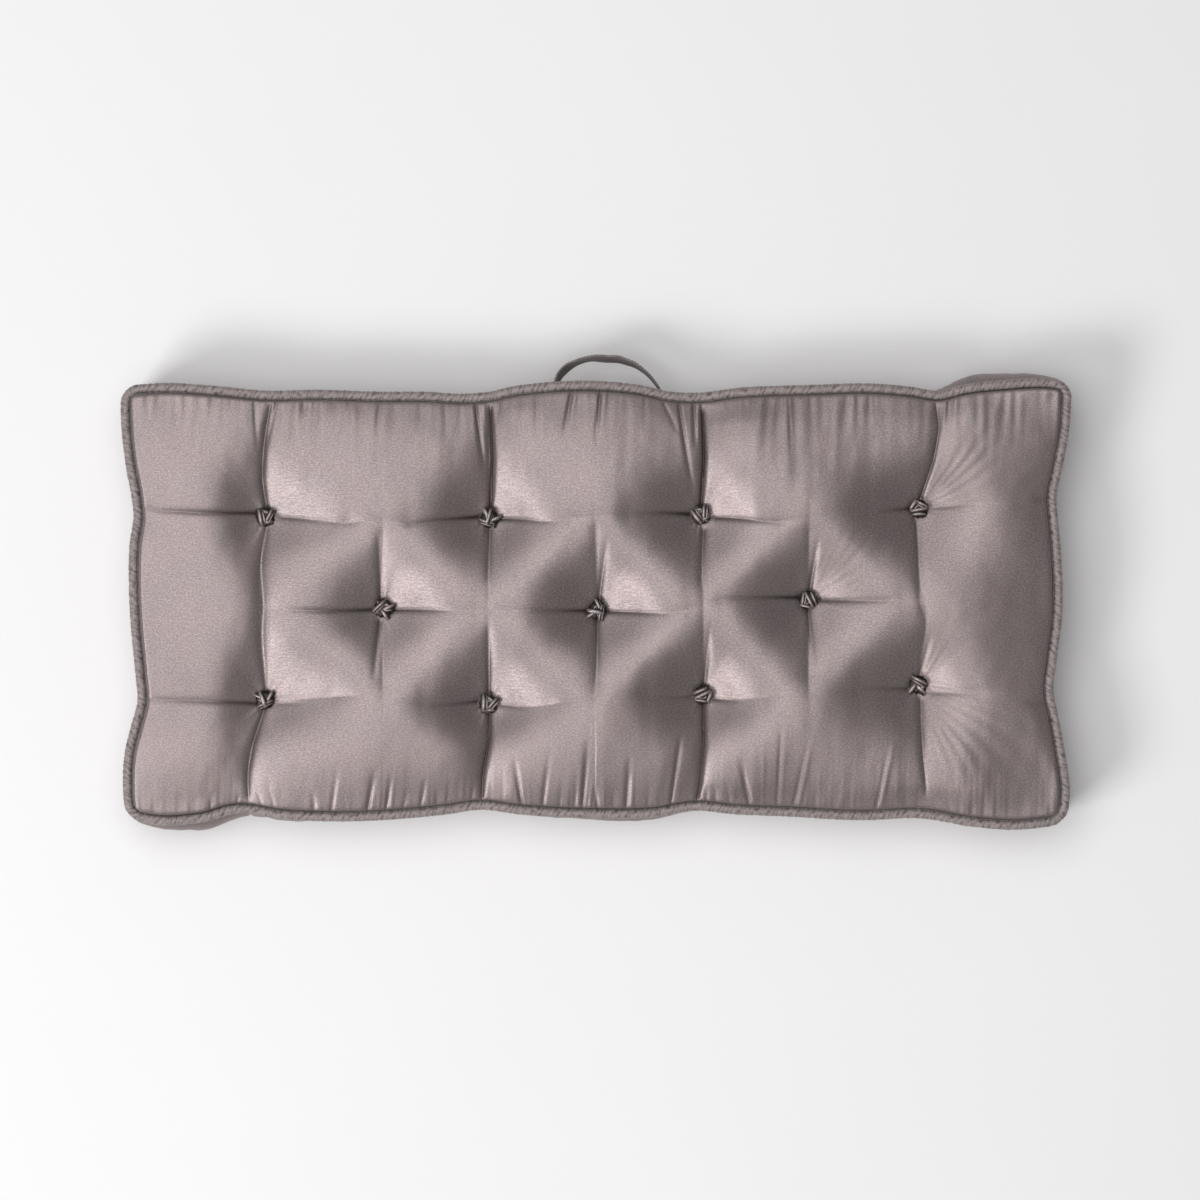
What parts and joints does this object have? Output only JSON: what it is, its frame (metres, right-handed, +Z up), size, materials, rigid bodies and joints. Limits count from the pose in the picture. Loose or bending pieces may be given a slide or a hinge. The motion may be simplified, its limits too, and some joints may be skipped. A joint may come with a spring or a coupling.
{
  "type": "sofa seat cushion",
  "caption": "Long filled box cushion with a tufted, crowned top, piped seams, gathered cloth rosettes and a carrying strap on one long side.",
  "frame": {"origin": "middle of the bounding box in plan, on the surface that the underside lies on", "axes": "+X along the length, +Y towards the long side with the carrying strap, +Z up out of the tufted face"},
  "size_m": [1.0044, 0.501, 0.1162],
  "materials": {
    "cover": "taupe grey satin weave",
    "piping": "taupe grey satin cut on the bias, finely puckered",
    "rosette": "taupe grey satin strip, gathered and knotted",
    "strap": "folded taupe grey satin, in shade"
  },
  "bodies": {
    "root": {"cushion": "cover", "piping_top": "piping", "piping_bottom": "piping", "rosette_back_1": "rosette", "rosette_back_2": "rosette", "rosette_back_3": "rosette", "rosette_back_4": "rosette", "rosette_middle_1": "rosette", "rosette_middle_2": "rosette", "rosette_middle_3": "rosette", "rosette_front_1": "rosette", "rosette_front_2": "rosette", "rosette_front_3": "rosette", "rosette_front_4": "rosette", "strap": "strap"}
  },
  "joints": []
}
